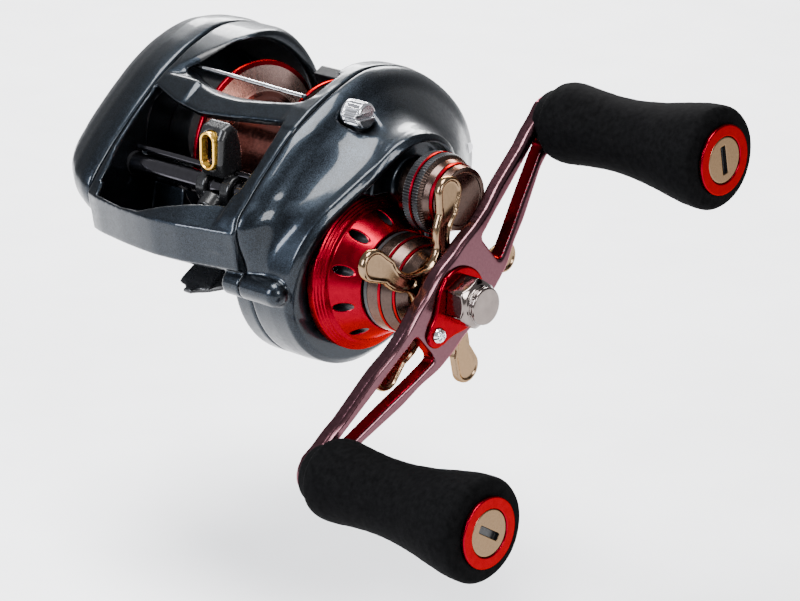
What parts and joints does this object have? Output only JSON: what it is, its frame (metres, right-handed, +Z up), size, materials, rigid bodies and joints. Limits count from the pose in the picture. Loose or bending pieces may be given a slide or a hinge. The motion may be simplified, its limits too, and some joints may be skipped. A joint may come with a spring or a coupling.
{
  "type": "baitcasting fishing reel",
  "caption": "Low-profile baitcasting fishing reel: slotted crank with foam knobs, star drag, cast control knob, geared spool, traversing line guide and thumb bar on a rod foot.",
  "frame": {"origin": "centre of the foot's underside, directly below the spool's axis", "axes": "+X forward, the way the line leaves; +Y along the spool's axis towards the crank; +Z up, away from the rod"},
  "size_m": [0.0945, 0.1483, 0.0855],
  "materials": {
    "body_paint": "metallic flake satin",
    "black_plastic": "satin",
    "dark_plastic": "gloss",
    "white_plastic": "smooth",
    "black_foot": "satin",
    "steel": "turned",
    "tube_steel": "dark polished",
    "worm_steel": "polished",
    "bearing_steel": "polished",
    "magnet_grey": "nickel",
    "red_anodised": "anodised gloss",
    "red_band": "anodised gloss",
    "gold_insert": "polished",
    "brass": "machined",
    "champagne_spool": "anodised",
    "carbon": "woven",
    "handle_anodised": "anodised satin",
    "dark_chrome": "smoked",
    "hub_brown": "anodised satin",
    "star_bronze": "anodised gloss",
    "eva_foam": "closed-cell foam",
    "champagne_cap": "anodised gloss"
  },
  "bodies": {
    "housing": {"frame": "body_paint", "reel_foot": "black_foot", "foot_screws": "steel", "palm_side_cover": "body_paint", "handle_side_cover": "body_paint", "side_cover_screws": "steel", "gear_cover": "red_anodised", "drive_shaft_bearing": "bearing_steel", "anti_reverse_bearing": "bearing_steel", "spool_bearings": "bearing_steel", "brake_ring": "magnet_grey", "worm_bushes": "black_plastic", "idler_stud": "steel", "worm_tube": "tube_steel", "guide_rod": "tube_steel", "yoke_posts": "steel", "yoke_springs": "steel"},
    "crank": {"drive_shaft": "steel", "level_wind_gear": "white_plastic", "ratchet": "steel", "main_gear": "brass", "drag_washers": "carbon", "drag_plates": "steel", "anti_reverse_sleeve": "steel", "hub_seal": "black_plastic", "handle_arm": "handle_anodised", "knob_posts": "steel", "nut_retainer": "red_anodised", "retainer_screw": "steel", "handle_nut": "dark_chrome"},
    "line_spool": {"spool": "champagne_spool", "spool_shaft": "steel", "brake_hub": "bearing_steel", "clutch_pin": "steel"},
    "worm": {"worm_shaft": "worm_steel", "worm_gear": "white_plastic"},
    "idler": {"idler_gear": "white_plastic"},
    "clutch": {"clutch_yoke": "dark_plastic"},
    "pinion": {"pinion_gear": "brass"},
    "star_drag": {"star_hub": "hub_brown", "star_bands": "red_band", "star_wheel": "star_bronze"},
    "upper_knob": {"upper_grip": "eva_foam", "upper_core": "black_plastic", "upper_bearings": "bearing_steel", "upper_ring": "red_band", "upper_cap": "champagne_cap"},
    "lower_knob": {"lower_grip": "eva_foam", "lower_core": "black_plastic", "lower_bearings": "bearing_steel", "lower_ring": "red_band", "lower_cap": "champagne_cap"},
    "cast_control": {"tension_knob": "hub_brown", "tension_bands": "red_band"},
    "cover_screw": {"thumbscrew": "steel"},
    "thumb_release": {"thumb_bar": "black_plastic"},
    "line_guide": {"guide_carriage": "dark_plastic", "line_insert": "gold_insert", "guide_pawl": "brass", "pawl_cap": "dark_plastic"}
  },
  "joints": [
    {"name": "handle_spin", "type": "hinge", "parent": "housing", "child": "crank", "pos_m": [0.01025, 0.03, 0.007], "axis": [0, 1, 0], "continuous": true},
    {"name": "spool_spin", "type": "hinge", "parent": "housing", "child": "line_spool", "pos_m": [0, 0, 0.02486], "axis": [0, 1, 0], "continuous": true},
    {"name": "worm_spin", "type": "hinge", "parent": "housing", "child": "worm", "pos_m": [0.02408, 0, 0.02247], "axis": [0, 1, 0], "continuous": true},
    {"name": "idler_spin", "type": "hinge", "parent": "housing", "child": "idler", "pos_m": [0.01858, 0.0202, 0.01632], "axis": [0, 1, 0], "continuous": true},
    {"name": "thumb_bar_press", "type": "slide", "parent": "housing", "child": "thumb_release", "axis": [0, 0, -1], "range_m": [0, 0.004], "stiffness_N_per_m": 300, "springref_m": -0.002},
    {"name": "clutch_slide", "type": "slide", "parent": "housing", "child": "clutch", "axis": [0, 1, 0], "range_m": [0, 0.0015]},
    {"name": "pinion_spin", "type": "hinge", "parent": "clutch", "child": "pinion", "pos_m": [0, 0.026, 0.02486], "axis": [0, 1, 0], "continuous": true},
    {"name": "star_turn", "type": "hinge", "parent": "crank", "child": "star_drag", "pos_m": [0.01025, 0.05, 0.007], "axis": [0, 1, 0], "range_deg": [-180, 180]},
    {"name": "upper_knob_spin", "type": "hinge", "parent": "crank", "child": "upper_knob", "pos_m": [-0.0255, 0.078, 0.03828], "axis": [0, 1, 0], "continuous": true},
    {"name": "lower_knob_spin", "type": "hinge", "parent": "crank", "child": "lower_knob", "pos_m": [0.046, 0.078, -0.02428], "axis": [0, 1, 0], "continuous": true},
    {"name": "cast_control_turn", "type": "hinge", "parent": "housing", "child": "cast_control", "pos_m": [0, 0.045, 0.02486], "axis": [0, 1, 0], "range_deg": [-180, 180]},
    {"name": "thumbscrew_turn", "type": "hinge", "parent": "housing", "child": "cover_screw", "pos_m": [0.0064, 0.026, 0.0402], "axis": [0, 1, 0], "continuous": true},
    {"name": "guide_slide", "type": "slide", "parent": "housing", "child": "line_guide", "axis": [0, 1, 0], "range_m": [-0.0135, 0.0055]}
  ],
  "couplings": [
    {"joint": "spool_spin", "follows": "handle_spin", "ratio": -6.4},
    {"joint": "pinion_spin", "follows": "handle_spin", "ratio": -6.4},
    {"joint": "idler_spin", "follows": "handle_spin", "ratio": -1.7778},
    {"joint": "worm_spin", "follows": "handle_spin", "ratio": 2.1333},
    {"joint": "clutch_slide", "follows": "thumb_bar_press", "ratio": 0.375}
  ]
}
